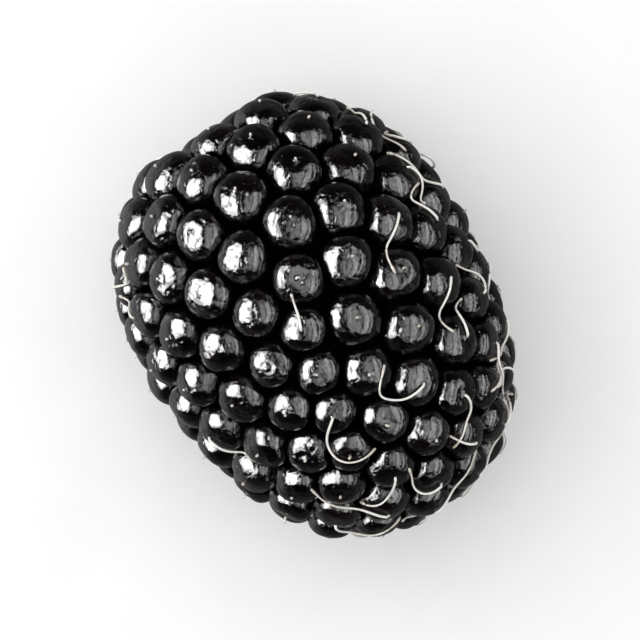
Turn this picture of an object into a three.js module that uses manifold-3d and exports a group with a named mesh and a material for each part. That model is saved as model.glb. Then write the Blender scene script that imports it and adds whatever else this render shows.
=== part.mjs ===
// A bramble berry as picked, lying on its side. Millimetres, +Z up.
// Its long axis runs along X, with the stem end at -X and the tip at +X, and it rests on Z = 0.
// It is a head of small round drupelets grown together round a core, which shows at the stem end only.

import * as THREE from 'three';
import { ConvexHull } from 'three/addons/math/ConvexHull.js';
import { mergeVertices } from 'three/addons/utils/BufferGeometryUtils.js';
import Module from 'manifold-3d';

// Driving dimensions of the berry's outline
const LENGTH = 28.8; // of the smooth outline; the berry measures 28, as no drupelet stands at its very ends
const WIDTH = 22.4;
const FULLNESS = 2.3; // 2 makes the outline an ellipse, more makes it a barrel with blunt ends
const TAPER = 0.07; // how much the stem half is fatter, and the tip half slimmer, than an even outline

// Drupelets
const DRUPELET_COUNT = 180;
const SIZE_SPREAD = 0.15; // largest difference of a drupelet's size from the mean
const TIP_SHRINK = 0.1; // how much smaller the drupelets at the tip are than those at the middle
const RUNT_SHARE = 0.08; // share of drupelets that were squeezed in between the others
const RUNT_SIZE = 0.8;
const JITTER = 0.25; // first displacement over the mean spacing
const RELAX_STEPS = 100;
const RELAX_REACH = 1.25; // drupelets push each other apart below this part of their spacing
const RELAX_GAIN = 0.3;
const NEAR_COUNT = 6; // a drupelet has room up to this many neighbours
const ROOM_SHARE = 0.54; // radius of a drupelet over its mean distance to them
const CORE_DEPTH = 1.8; // depth under the outline of the berry's core, which closes the gaps

// Pale plug at the stem end and the recess it sits in
const PLUG_RADIUS = 3.0;
const PLUG_DEPTH = 2.2;
const PLUG_FACE_DEPTH = 2.0; // the plug's rim lies this far inside the stem end of the outline
const PLUG_BEVEL = 0.15;
const PLUG_FOOT_RADIUS = 2.7; // at its inner end
const DISH_DEPTH = 0.6; // of the hollow in the plug's face
const DISH_FLOOR_RADIUS = 1.65;
const DISH_BEND_RADIUS = 2.45; // the hollow's side is steeper inside here
const DISH_BEND_DEPTH = 0.2;
const SCAR_RADIUS = 1.1;
const SCAR_TOP_RADIUS = 0.6;
const SCAR_HEIGHT = 0.45;
const SEAT_GAP = 0.3; // between the plug and the recess
const PLUG_SIDES = 32;
const RECESS_MOUTH = 6.0; // the recess tool reaches this far out of the berry

// How the berry lies: turned about its own axis, then tipped, so that its weight is between low drupelets
const ROLL = THREE.MathUtils.degToRad(27.4);
const PITCH = THREE.MathUtils.degToRad(2.9);
const REST_CUT = 0.22; // how far the lowest drupelets are flattened where they rest

// Facets of one drupelet: rings between its top and its edge, as shares of the way down
const RINGS = [0.4, 0.74];
const CORNER_MARGIN = 0.12; // least share of each of the three drupelets in the place of a crease's corner
const CREASE_MARGIN = 0.2; // least share of each of the two drupelets in the place of a crease's middle

// What is drawn by chance has a salt of its own
const SALT = { size: 1, runt: 2, shakeX: 3, shakeY: 4, shakeZ: 5 };

const GOLDEN_ANGLE = Math.PI * (3 - Math.sqrt(5));
const HALF_LENGTH = LENGTH / 2;
const HALF_WIDTH = WIDTH / 2;
const HEXAGON_AREA = Math.sqrt(3) / 2; // of a hexagonal cell with a spacing of 1

// The share of a unit that index and salt always give, spread evenly between 0 and 1.
function scatter(index, salt) {
  const wave = Math.sin(index * 12.9898 + salt * 78.233) * 43758.5453;
  return wave - Math.floor(wave);
}

// Area of the ellipsoid with the berry's length and width, by Thomsen's formula.
function outlineArea() {
  const power = 1.6075;
  const across = Math.pow(HALF_WIDTH, power);
  const along = Math.pow(HALF_LENGTH, power);
  return 4 * Math.PI * Math.pow((across * across + 2 * across * along) / 3, 1 / power);
}

const SPACING = Math.sqrt(outlineArea() / DRUPELET_COUNT / HEXAGON_AREA);

// The outline's point in a direction from the berry's middle.
function onOutline(direction) {
  const unit = direction.clone().normalize();
  const across = Math.hypot(unit.y, unit.z);
  const along = Math.abs(unit.x);
  const measure = Math.pow(along / HALF_LENGTH, FULLNESS) + Math.pow(across / HALF_WIDTH, FULLNESS);
  const radius = Math.pow(measure, -1 / FULLNESS);
  return unit.multiplyScalar(radius * (1 - TAPER * unit.x * across * across));
}

// The outward normal of the outline at a point on it.
function outlineNormal(point) {
  const across = Math.hypot(point.y, point.z);
  const along = Math.sign(point.x) * Math.pow(Math.abs(point.x) / HALF_LENGTH, FULLNESS - 1) / HALF_LENGTH;
  const outward = Math.pow(across / HALF_WIDTH, FULLNESS - 1) / HALF_WIDTH;
  const share = across > 0 ? outward / across : 0;
  return new THREE.Vector3(along, point.y * share, point.z * share).normalize();
}

// Size of a drupelet over the mean: random, smaller towards the tip, and a few runts.
function drupeletSize(index, along) {
  const random = 1 + SIZE_SPREAD * (2 * scatter(index, SALT.size) - 1);
  const runt = scatter(index, SALT.runt) < RUNT_SHARE ? RUNT_SIZE : 1;
  return random * runt * (1 - TIP_SHRINK * Math.max(along, 0));
}

// Places drupelets on a golden-angle spiral, shakes them, lets them push each other apart and swell.
// The first keeps to the stem pole and stands for the plug, so its size makes room for it.
function layOutDrupelets() {
  const tops = [];
  const sizes = [];
  for (let index = 0; index < DRUPELET_COUNT; index += 1) {
    const along = -1 + 2 * (index + 0.5) / DRUPELET_COUNT;
    const across = Math.sqrt(1 - along * along);
    const turn = index * GOLDEN_ANGLE;
    const spot = onOutline(new THREE.Vector3(
      along * HALF_LENGTH,
      across * Math.cos(turn) * HALF_WIDTH,
      across * Math.sin(turn) * HALF_WIDTH,
    ));
    const shares = [SALT.shakeX, SALT.shakeY, SALT.shakeZ].map((salt) => scatter(index, salt) - 0.5);
    const shake = new THREE.Vector3(...shares);
    tops.push(onOutline(spot.addScaledVector(shake, 2 * JITTER * SPACING)));
    sizes.push(drupeletSize(index, along));
  }
  tops[0] = new THREE.Vector3(-HALF_LENGTH, 0, 0);
  sizes[0] = 2 * PLUG_RADIUS / SPACING;

  for (let step = 0; step < RELAX_STEPS; step += 1) {
    const pushes = tops.map((top, index) => pushOn(index, top, tops, sizes));
    for (let index = 1; index < DRUPELET_COUNT; index += 1) {
      tops[index] = onOutline(tops[index].clone().add(pushes[index]));
    }
  }
  return tops.map((top, index) => makeDrupelet(index, top, tops));
}

// The push of all near drupelets on one of them.
function pushOn(index, top, tops, sizes) {
  const push = new THREE.Vector3();
  for (let other = 0; other < tops.length; other += 1) {
    const wanted = RELAX_REACH * SPACING * (sizes[index] + sizes[other]) / 2;
    const away = top.clone().sub(tops[other]);
    const distance = away.length();
    if (other !== index && distance < wanted) {
      push.addScaledVector(away, RELAX_GAIN * (wanted / distance - 1) / 2);
    }
  }
  return push;
}

// The mean distance from a drupelet to its nearest neighbours. To the plug it is twice that to its edge.
function roomAround(index, tops) {
  const distances = tops.map((top, other) => {
    const distance = top.distanceTo(tops[index]);
    return other === 0 ? 2 * Math.max(distance - PLUG_RADIUS, 0) : distance;
  });
  distances.splice(index, 1);
  const nearest = distances.sort((a, b) => a - b).slice(0, NEAR_COUNT);
  return nearest.reduce((sum, distance) => sum + distance, 0) / NEAR_COUNT;
}

// A drupelet is a ball that swells to fill its room, with its top on the outline.
// The plug's stand-in is a ball inside the recess.
function makeDrupelet(index, top, tops) {
  const normal = outlineNormal(top);
  const radius = index === 0 ? PLUG_RADIUS : ROOM_SHARE * roomAround(index, tops);
  const depth = index === 0 ? PLUG_FACE_DEPTH + radius : radius;
  return { centre: top.clone().addScaledVector(normal, -depth), normal, radius };
}

// Distance from the berry's middle to its surface: the farthest crossing of a ball, or the core.
function reach(direction, drupelets) {
  const unit = direction.clone().normalize();
  let farthest = onOutline(unit).length() - CORE_DEPTH;
  for (const { centre, radius } of drupelets) {
    const nearest = unit.dot(centre);
    const inside = radius * radius - centre.lengthSq() + nearest * nearest;
    if (nearest > 0 && inside > 0) {
      farthest = Math.max(farthest, nearest + Math.sqrt(inside));
    }
  }
  return farthest;
}

// The triangles of neighbouring drupelets, as indices in order round the outside.
function neighbourTriangles(drupelets) {
  const spots = drupelets.map(({ centre }) => centre.clone().normalize());
  const indexOf = new Map(spots.map((spot, index) => [spot, index]));
  const hull = new ConvexHull().setFromPoints(spots);
  return hull.faces.map((face) => [0, 1, 2].map((corner) => indexOf.get(face.getEdge(corner).head().point)));
}

// Where three balls meet, as a direction inside the triangle of their centres.
function creaseCorner(first, second, third) {
  const a = second.centre.clone().sub(first.centre);
  const b = third.centre.clone().sub(first.centre);
  const towardsSecond = (a.lengthSq() + first.radius ** 2 - second.radius ** 2) / 2;
  const towardsThird = (b.lengthSq() + first.radius ** 2 - third.radius ** 2) / 2;
  const mixed = a.dot(b);
  const scale = a.lengthSq() * b.lengthSq() - mixed * mixed;
  const secondShare = (towardsSecond * b.lengthSq() - towardsThird * mixed) / scale;
  const thirdShare = (towardsThird * a.lengthSq() - towardsSecond * mixed) / scale;
  const shares = [1 - secondShare - thirdShare, secondShare, thirdShare];
  return new THREE.Vector3()
    .addScaledVector(first.centre, Math.max(shares[0], CORNER_MARGIN))
    .addScaledVector(second.centre, Math.max(shares[1], CORNER_MARGIN))
    .addScaledVector(third.centre, Math.max(shares[2], CORNER_MARGIN));
}

// Where two balls meet, as a direction on the line between their centres.
function creaseMiddle(first, second) {
  const line = second.centre.clone().sub(first.centre);
  const share = 0.5 + (first.radius ** 2 - second.radius ** 2) / (2 * line.lengthSq());
  const kept = THREE.MathUtils.clamp(share, CREASE_MARGIN, 1 - CREASE_MARGIN);
  return first.centre.clone().addScaledVector(line, kept);
}

// The head's surface: each drupelet is a cap of rings round its top, and shares its edge with its neighbours.
function headGeometry(drupelets) {
  const positions = [];
  const faces = [];
  const addPoint = (direction) => {
    const point = direction.clone().setLength(reach(direction, drupelets));
    positions.push(point.x, point.y, point.z);
    return positions.length / 3 - 1;
  };
  const pointAt = (index) => new THREE.Vector3().fromArray(positions, index * 3);

  const middles = new Map();
  const middleOf = (one, other) => {
    const key = `${Math.min(one, other)} ${Math.max(one, other)}`;
    if (!middles.has(key)) {
      middles.set(key, addPoint(creaseMiddle(drupelets[one], drupelets[other])));
    }
    return middles.get(key);
  };

  // After the neighbour "from", going round a drupelet, comes the neighbour "to", with a corner between them.
  const around = drupelets.map(() => new Map());
  for (const triangle of neighbourTriangles(drupelets)) {
    const corner = addPoint(creaseCorner(...triangle.map((index) => drupelets[index])));
    triangle.forEach((index, place) => {
      const from = triangle[(place + 1) % 3];
      const to = triangle[(place + 2) % 3];
      around[index].set(from, { to, corner });
    });
  }

  drupelets.forEach(({ centre, normal, radius }, index) => {
    const edge = [];
    const start = around[index].keys().next().value;
    let from = start;
    do {
      const { to, corner } = around[index].get(from);
      edge.push(middleOf(index, from), corner);
      from = to;
    } while (from !== start);

    const top = addPoint(centre.clone().addScaledVector(normal, radius));
    const rings = RINGS.map((share) => edge.map((point) => {
      const outward = pointAt(point).sub(centre).normalize();
      const angle = normal.angleTo(outward);
      const sideways = outward.addScaledVector(normal, -Math.cos(angle)).normalize();
      const lean = normal.clone().multiplyScalar(Math.cos(angle * share));
      lean.addScaledVector(sideways, Math.sin(angle * share));
      return addPoint(centre.clone().addScaledVector(lean, radius));
    }));
    rings.push(edge);

    for (let side = 0; side < edge.length; side += 1) {
      const next = (side + 1) % edge.length;
      faces.push(top, rings[0][side], rings[0][next]);
      for (let ring = 1; ring < rings.length; ring += 1) {
        const inner = rings[ring - 1];
        const outer = rings[ring];
        faces.push(inner[side], outer[side], outer[next], inner[side], outer[next], inner[next]);
      }
    }
  });

  const geometry = new THREE.BufferGeometry();
  geometry.setAttribute('position', new THREE.Float32BufferAttribute(positions, 3));
  geometry.setIndex(faces);
  return geometry;
}

// A closed lathe along the berry's axis, from a profile of [distance along X, radius] points.
function latheAlongX(profile, sides) {
  const points = profile.map(([along, radius]) => new THREE.Vector2(radius, along));
  return new THREE.LatheGeometry(points, sides).rotateZ(-Math.PI / 2);
}

// The pale plug: a short cylinder with a dished end and a raised scar in its middle.
function plugGeometry() {
  const rim = -HALF_LENGTH + PLUG_FACE_DEPTH;
  const dish = rim + DISH_DEPTH;
  return latheAlongX([
    [dish - SCAR_HEIGHT, 0],
    [dish - SCAR_HEIGHT, SCAR_TOP_RADIUS],
    [dish, SCAR_RADIUS],
    [dish, DISH_FLOOR_RADIUS],
    [rim + DISH_BEND_DEPTH, DISH_BEND_RADIUS],
    [rim, PLUG_RADIUS - PLUG_BEVEL],
    [rim + PLUG_BEVEL, PLUG_RADIUS],
    [rim + PLUG_DEPTH, PLUG_FOOT_RADIUS],
    [rim + PLUG_DEPTH, 0],
  ], PLUG_SIDES);
}

// The recess that the plug sits in, open at the stem end.
function recessGeometry() {
  const rim = -HALF_LENGTH + PLUG_FACE_DEPTH;
  const radius = PLUG_RADIUS + SEAT_GAP;
  return latheAlongX([
    [-HALF_LENGTH - RECESS_MOUTH, 0],
    [-HALF_LENGTH - RECESS_MOUTH, radius],
    [rim + PLUG_DEPTH + SEAT_GAP, radius],
    [rim + PLUG_DEPTH + SEAT_GAP, 0],
  ], PLUG_SIDES);
}

// Turns the berry the way it lies, over the origin, with its lowest drupelets under Z = 0 by the rest cut.
function layingMatrix(drupelets) {
  const turn = new THREE.Matrix4().makeRotationY(PITCH).multiply(new THREE.Matrix4().makeRotationX(ROLL));
  const box = new THREE.Box3();
  for (const { centre, radius } of drupelets.slice(1)) {
    const turned = centre.clone().applyMatrix4(turn);
    box.expandByPoint(turned.clone().addScalar(radius));
    box.expandByPoint(turned.clone().addScalar(-radius));
  }
  const middle = box.getCenter(new THREE.Vector3());
  return new THREE.Matrix4().makeTranslation(-middle.x, -middle.y, -box.min.z - REST_CUT).multiply(turn);
}

const wasm = await Module();
wasm.setup();

function toSolid(geometry) {
  const bare = geometry.clone();
  bare.deleteAttribute('normal');
  bare.deleteAttribute('uv');
  const merged = mergeVertices(bare);
  return new wasm.Manifold(new wasm.Mesh({
    numProp: 3,
    vertProperties: merged.getAttribute('position').array,
    triVerts: new Uint32Array(merged.getIndex().array),
  }));
}

function toGeometry(solid) {
  const mesh = solid.getMesh();
  const geometry = new THREE.BufferGeometry();
  geometry.setAttribute('position', new THREE.Float32BufferAttribute(mesh.vertProperties, 3));
  geometry.setIndex(new THREE.Uint32BufferAttribute(mesh.triVerts, 1));
  geometry.computeVertexNormals();
  return geometry;
}

// A block that takes away everything under Z = 0.
function groundBlock() {
  const size = 2 * LENGTH;
  return new THREE.BoxGeometry(size, size, size).translate(0, 0, -size / 2);
}

const skin = new THREE.MeshStandardMaterial({ color: 0x120d14, roughness: 0.22, metalness: 0 });
const pith = new THREE.MeshStandardMaterial({ color: 0xc9c49a, roughness: 0.75, metalness: 0 });

const drupelets = layOutDrupelets();
const laying = layingMatrix(drupelets);

const carved = toSolid(headGeometry(drupelets)).subtract(toSolid(recessGeometry()));
const laid = toSolid(toGeometry(carved).applyMatrix4(laying)).subtract(toSolid(groundBlock()));

const head = new THREE.Mesh(toGeometry(laid), skin);
head.name = 'drupelets';

const plug = new THREE.Mesh(plugGeometry().applyMatrix4(laying), pith);
plug.name = 'receptacle';

const berry = new THREE.Group();
berry.name = 'bramble_berry';
berry.add(head, plug);

export default berry;
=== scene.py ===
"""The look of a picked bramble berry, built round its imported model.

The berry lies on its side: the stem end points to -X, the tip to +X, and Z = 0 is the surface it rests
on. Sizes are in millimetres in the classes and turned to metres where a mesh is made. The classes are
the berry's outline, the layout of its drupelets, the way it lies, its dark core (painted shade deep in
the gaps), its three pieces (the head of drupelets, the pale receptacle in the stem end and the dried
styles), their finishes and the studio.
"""

import logging
import math
from dataclasses import dataclass, field
from enum import Enum, IntEnum

import bpy
import numpy as np
from mathutils import Matrix, Vector
from numpy.typing import NDArray


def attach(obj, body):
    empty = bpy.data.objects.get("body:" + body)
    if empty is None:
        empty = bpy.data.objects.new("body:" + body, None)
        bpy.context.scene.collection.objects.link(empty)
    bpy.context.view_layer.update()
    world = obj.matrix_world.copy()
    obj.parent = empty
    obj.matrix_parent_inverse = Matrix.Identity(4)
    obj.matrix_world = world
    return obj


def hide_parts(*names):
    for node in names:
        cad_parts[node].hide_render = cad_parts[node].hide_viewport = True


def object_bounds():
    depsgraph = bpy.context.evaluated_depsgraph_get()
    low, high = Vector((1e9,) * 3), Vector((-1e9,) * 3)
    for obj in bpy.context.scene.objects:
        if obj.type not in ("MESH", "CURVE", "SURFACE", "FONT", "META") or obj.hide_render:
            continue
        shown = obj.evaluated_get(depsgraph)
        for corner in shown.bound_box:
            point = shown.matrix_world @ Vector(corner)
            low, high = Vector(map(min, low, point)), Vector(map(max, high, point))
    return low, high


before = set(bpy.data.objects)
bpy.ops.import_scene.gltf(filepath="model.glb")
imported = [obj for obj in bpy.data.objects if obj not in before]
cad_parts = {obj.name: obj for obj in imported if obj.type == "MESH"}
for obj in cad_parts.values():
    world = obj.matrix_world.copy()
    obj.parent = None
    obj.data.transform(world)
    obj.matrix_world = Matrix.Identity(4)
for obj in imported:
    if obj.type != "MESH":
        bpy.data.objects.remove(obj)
cad_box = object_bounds()

Array = NDArray[np.float64]
Indices = NDArray[np.int64]
Colour = tuple[float, float, float, float]

log = logging.getLogger("berry")

MM = 0.001  # metres in a millimetre
TINY = 1e-12  # keeps a length from being zero where it divides
GOLDEN_ANGLE = math.pi * (3 - math.sqrt(5))
HEXAGON_AREA = math.sqrt(3) / 2  # of a hexagonal cell with a spacing of 1
HASH_STEP = 12.9898  # phase from one index to the next
HASH_SALT = 78.233  # phase from one salt to the next
HASH_STRETCH = 43758.5453  # large, so that near phases give unlike shares
NEAR_X = 0.7  # share of an axis along X from which it lies near X


class Draw(IntEnum):
    """What is drawn by chance. Each has a salt of its own, so that no draw follows another."""

    SIZE = 1
    RUNT = 2
    SHAKE_X = 3
    SHAKE_Y = 4
    SHAKE_Z = 5
    WAVE_AXIS = 11  # the first of three for each wave
    WAVE_PHASE = 31  # the first of one for each wave
    DENT = 41
    TONE = 51
    STYLE_KEPT = 61
    STYLE_LENGTH = 62
    STYLE_CURL = 64
    STYLE_SWAY = 65
    STYLE_LIFT = 66
    STUB_LEAN = 71
    STUB_LENGTH = 72
    STYLE_HEADING = 73


def scatter(index: Array, salt: int) -> Array:
    """Give each index its own share of a unit, the same on each run.

    It is the fractional part of a large multiple of a sine.

    Args:
        index: whole numbers, one for each thing.
        salt: a number that makes one set of draws differ from another.

    Returns:
        Numbers spread evenly between 0 and 1.
    """
    wave = np.sin(index * HASH_STEP + salt * HASH_SALT) * HASH_STRETCH
    return wave - np.floor(wave)


def vary(index: Array, salt: int) -> Array:
    """Draw each index a factor between a half and one and a half."""
    return 0.5 + scatter(index, salt)


def unit(vectors: Array) -> Array:
    """Return the vectors with a length of 1."""
    return vectors / np.maximum(np.linalg.norm(vectors, axis=-1, keepdims=True), TINY)


def side_axes(axis: Array) -> tuple[Array, Array]:
    """Find two directions across each axis, so that the three make a right-handed set.

    The first is X crossed with the axis, or Z crossed with it where the axis lies near X.

    Args:
        axis: unit vectors.

    Returns:
        The two sets of unit vectors.
    """
    helper = np.where(np.abs(axis[..., :1]) < NEAR_X, [1.0, 0.0, 0.0], [0.0, 0.0, 1.0])
    first = unit(np.cross(helper, axis))
    return first, np.cross(axis, first)


def smooth_step(low: float, high: float, value: Array) -> Array:
    """Rise from 0 at low to 1 at high, along a cubic with level ends."""
    share = np.clip((value - low) / (high - low), 0.0, 1.0)
    return share * share * (3 - 2 * share)


@dataclass(frozen=True)
class Outline:
    """The smooth outline round the tops of the drupelets: a barrel a little fatter at the stem end."""

    length: float = 28.8
    width: float = 22.4
    fullness: float = 2.3  # 2 makes an ellipse, more makes a barrel with blunt ends
    taper: float = 0.07

    @property
    def half_length(self) -> float:
        """Half of the outline's length."""
        return self.length / 2

    @property
    def half_width(self) -> float:
        """Half of the outline's width."""
        return self.width / 2

    def area(self) -> float:
        """Work out the area of the ellipsoid of this length and width, by Thomsen's formula.

        Returns:
            The area, in square millimetres.
        """
        power = 1.6075
        across = self.half_width**power
        along = self.half_length**power
        return 4 * math.pi * ((across * across + 2 * across * along) / 3) ** (1 / power)

    def at(self, direction: Array) -> Array:
        """Find the outline's points in the given directions from its middle.

        The radius is that of a superellipsoid, less the taper times the share along the axis times
        the square of the share across it.

        Args:
            direction: vectors of any length.

        Returns:
            Points on the outline.
        """
        ray = unit(direction)
        across = np.hypot(ray[..., 1], ray[..., 2])
        along = np.abs(ray[..., 0])
        measure = (along / self.half_length) ** self.fullness + (across / self.half_width) ** self.fullness
        radius = measure ** (-1 / self.fullness) * (1 - self.taper * ray[..., 0] * across**2)
        return ray * radius[..., None]

    def normal(self, point: Array) -> Array:
        """Find which way the outline faces, from the superellipsoid's gradient.

        Args:
            point: points on the outline.

        Returns:
            Unit vectors, outward.
        """
        power = self.fullness - 1
        across = np.hypot(point[..., 1], point[..., 2])
        lengthwise = (np.abs(point[..., 0]) / self.half_length) ** power / self.half_length
        outward = (across / self.half_width) ** power / self.half_width
        share = outward / np.maximum(across, TINY)
        along = np.sign(point[..., 0]) * lengthwise
        return unit(np.stack([along, point[..., 1] * share, point[..., 2] * share], axis=-1))


@dataclass(frozen=True)
class Drupelets:
    """Balls that stand for the drupelets, as arrays of centres, outward normals and radii.

    The first one stands for the receptacle, and the drupelets are those after it.
    """

    centre: Array
    normal: Array
    radius: Array

    @property
    def top(self) -> Array:
        """The outermost point of each drupelet."""
        return self.centre + self.normal * self.radius[:, None]


@dataclass(frozen=True)
class DrupeletLayout:
    """Where the drupelets grow: a golden-angle spiral, shaken, then relaxed by mutual pushes."""

    outline: Outline
    count: int = 180
    size_spread: float = 0.15
    tip_shrink: float = 0.1
    runt_share: float = 0.08
    runt_size: float = 0.8
    jitter: float = 0.25
    relax_steps: int = 100
    relax_reach: float = 1.25  # distance that two drupelets of mean size want, over the spacing
    relax_gain: float = 0.3
    near_count: int = 6  # nearest tops that count in a drupelet's room
    room_share: float = 0.54  # a drupelet's radius over its room
    plug_radius: float = 3.0
    plug_face_depth: float = 2.0  # of the rim of the plug's face under the stem end

    @property
    def spacing(self) -> float:
        """The mean distance between the tops of neighbouring drupelets."""
        return math.sqrt(self.outline.area() / self.count / HEXAGON_AREA)

    def sizes(self, index: Array, along: Array) -> Array:
        """Draw each drupelet's size over the mean.

        A random spread, times a runt's size for a few, times a shrink towards the tip.

        Args:
            index: the drupelets' numbers.
            along: -1 at the stem end to 1 at the tip.

        Returns:
            Sizes, about 1.
        """
        spread = 1 + self.size_spread * (2 * scatter(index, Draw.SIZE) - 1)
        runt = np.where(scatter(index, Draw.RUNT) < self.runt_share, self.runt_size, 1.0)
        return spread * runt * (1 - self.tip_shrink * np.maximum(along, 0.0))

    def room(self, top: Array) -> Array:
        """Find how much room each drupelet has.

        It is the mean distance to the nearest tops, and twice the distance to the edge of the plug.

        Args:
            top: the drupelets' tops.

        Returns:
            One distance a drupelet.
        """
        distance = np.linalg.norm(top[:, None] - top[None], axis=2)
        distance[:, 0] = 2 * np.maximum(distance[:, 0] - self.plug_radius, 0.0)
        np.fill_diagonal(distance, np.inf)
        return np.sort(distance, axis=1)[:, : self.near_count].mean(axis=1)

    def grow(self) -> Drupelets:
        """Lay out all drupelets. The first stays on the stem pole and stands for the receptacle.

        Each step moves a drupelet away from each one that is nearer than they want, by the gain times
        half the shortfall over the distance, and back onto the outline.

        Returns:
            The drupelets, before the berry is laid down.
        """
        index = np.arange(self.count, dtype=float)
        along = -1 + 2 * (index + 0.5) / self.count
        across = np.sqrt(1 - along**2)
        turn = index * GOLDEN_ANGLE
        half = [self.outline.half_length, self.outline.half_width, self.outline.half_width]
        spiral = np.stack([along, across * np.cos(turn), across * np.sin(turn)], axis=1) * half
        shakes = (Draw.SHAKE_X, Draw.SHAKE_Y, Draw.SHAKE_Z)
        shake = np.stack([scatter(index, salt) - 0.5 for salt in shakes], axis=1)
        top = self.outline.at(self.outline.at(spiral) + shake * 2 * self.jitter * self.spacing)
        size = self.sizes(index, along)
        pole = np.array([-self.outline.half_length, 0.0, 0.0])
        top[0] = pole
        size[0] = 2 * self.plug_radius / self.spacing

        wanted = self.relax_reach * self.spacing * (size[:, None] + size[None]) / 2
        for _ in range(self.relax_steps):
            away = top[:, None] - top[None]
            distance = np.linalg.norm(away, axis=2)
            np.fill_diagonal(distance, np.inf)
            push = np.where(distance < wanted, self.relax_gain * (wanted / distance - 1) / 2, 0.0)
            top = self.outline.at(top + (away * push[..., None]).sum(axis=1))
            top[0] = pole

        normal = self.outline.normal(top)
        radius = self.room_share * self.room(top)
        centre = top - normal * radius[:, None]
        radius[0] = self.plug_radius
        centre[0] = top[0] - normal[0] * (self.plug_face_depth + self.plug_radius)
        return Drupelets(centre, normal, radius)


@dataclass(frozen=True)
class Laying:
    """How the berry lies: turned about its own axis, then tipped, then set on Z = 0."""

    roll_degrees: float = 27.4
    pitch_degrees: float = 2.9
    rest_cut: float = 0.22  # how much of the lowest drupelets is pressed flat

    def turn(self) -> Array:
        """Work out how the berry is turned: a roll about X, then a pitch about Y.

        Returns:
            The rotation, as a 3 by 3 matrix.
        """
        roll = Matrix.Rotation(math.radians(self.roll_degrees), 3, "X")
        pitch = Matrix.Rotation(math.radians(self.pitch_degrees), 3, "Y")
        return np.array(pitch @ roll)

    def shift(self, drupelets: Drupelets) -> Array:
        """Find the move that centres the turned berry over the origin, its lowest tops under Z = 0.

        Args:
            drupelets: the drupelets before the turn.

        Returns:
            The move, in millimetres.
        """
        centre = drupelets.centre[1:] @ self.turn().T
        reach = drupelets.radius[1:, None]
        low = (centre - reach).min(axis=0)
        high = (centre + reach).max(axis=0)
        middle = (low + high) / 2
        return np.array([-middle[0], -middle[1], -low[2] - self.rest_cut])

    def place(self, points: Array, drupelets: Drupelets) -> Array:
        """Lay points down with the berry.

        Args:
            points: points (..., 3) on the berry before it is laid down.
            drupelets: the drupelets before the turn.

        Returns:
            The points as the berry lies.
        """
        return points @ self.turn().T + self.shift(drupelets)

    def lay(self, drupelets: Drupelets) -> Drupelets:
        """Return the drupelets as they lie."""
        centre = self.place(drupelets.centre, drupelets)
        return Drupelets(centre, drupelets.normal @ self.turn().T, drupelets.radius)


def shell_faces(count: int, rings: int, segments: int) -> tuple[Indices, Indices]:
    """List the faces of closed shells, each a pole, then rings of points, then the other pole.

    Args:
        count: how many shells there are.
        rings: rings of points between the poles of one.
        segments: points round one ring.

    Returns:
        The quads between the rings, and the triangles at the poles, all facing out.
    """
    size = 2 + rings * segments
    start = np.arange(count)[:, None, None] * size
    here = np.arange(segments)
    after = (here + 1) % segments
    row = 1 + np.arange(rings - 1)[:, None] * segments
    quads = np.stack([row + here, row + segments + here, row + segments + after, row + after], axis=-1)
    quads = (start[..., None] + quads[None]).reshape(-1, 4)
    last = 1 + (rings - 1) * segments
    near = np.stack([np.zeros_like(here), 1 + here, 1 + after], axis=-1)
    far = np.stack([last + here, np.full_like(here, size - 1), last + after], axis=-1)
    triangles = (start + np.concatenate([near, far])[None]).reshape(-1, 3)
    return quads, triangles


def shell_points(near_pole: Array, rings: Array, far_pole: Array) -> Array:
    """Join poles (count, 3) and rings (count, rings, segments, 3) in the order of shell_faces."""
    count = rings.shape[0]
    return np.concatenate([near_pole[:, None], rings.reshape(count, -1, 3), far_pole[:, None]], axis=1)


@dataclass
class ShellMesh:
    """Closed shells of one kind, gathered into one mesh object."""

    points: list[Array] = field(default_factory=list)
    quads: list[Indices] = field(default_factory=list)
    triangles: list[Indices] = field(default_factory=list)
    quad_slots: list[Indices] = field(default_factory=list)
    triangle_slots: list[Indices] = field(default_factory=list)
    values: dict[str, list[Array]] = field(default_factory=dict)
    size: int = 0

    def add(self, points: Array, segments: int, slot: int = 0, **values: Array) -> None:
        """Add shells to the mesh.

        Args:
            points: points (count, points of one shell, 3), in millimetres.
            segments: points round one ring.
            slot: the number of the shells' material on the piece.
            **values: for each named attribute, one number a point (count, points of one shell).
        """
        count, per_shell = points.shape[:2]
        quads, triangles = shell_faces(count, (per_shell - 2) // segments, segments)
        self.points.append(points.reshape(-1, 3))
        self.quads.append(quads + self.size)
        self.triangles.append(triangles + self.size)
        self.quad_slots.append(np.full(len(quads), slot))
        self.triangle_slots.append(np.full(len(triangles), slot))
        for name, value in values.items():
            self.values.setdefault(name, []).append(np.broadcast_to(value, points.shape[:2]).reshape(-1))
        self.size += count * per_shell

    def build(self, name: str) -> bpy.types.Object:
        """Make the Blender object, at the origin, with its place in its mesh.

        Args:
            name: the piece's name.

        Returns:
            The new object.
        """
        mesh = bpy.data.meshes.new(name)
        faces = [row for group in (*self.quads, *self.triangles) for row in group.tolist()]
        mesh.from_pydata((np.concatenate(self.points) * MM).tolist(), [], faces)
        slots = np.concatenate([*self.quad_slots, *self.triangle_slots]).astype(np.int32)
        mesh.polygons.foreach_set("material_index", slots)
        for attribute, groups in self.values.items():
            layer = mesh.attributes.new(attribute, "FLOAT", "POINT")
            layer.data.foreach_set("value", np.concatenate(groups).astype(np.float32))
        mesh.shade_smooth()
        mesh.update()
        piece = bpy.data.objects.new(name, mesh)
        bpy.context.scene.collection.objects.link(piece)
        return piece


def count_triangles(piece: bpy.types.Object) -> int:
    """Return how many triangles a piece's mesh has."""
    piece.data.calc_loop_triangles()
    return len(piece.data.loop_triangles)


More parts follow.
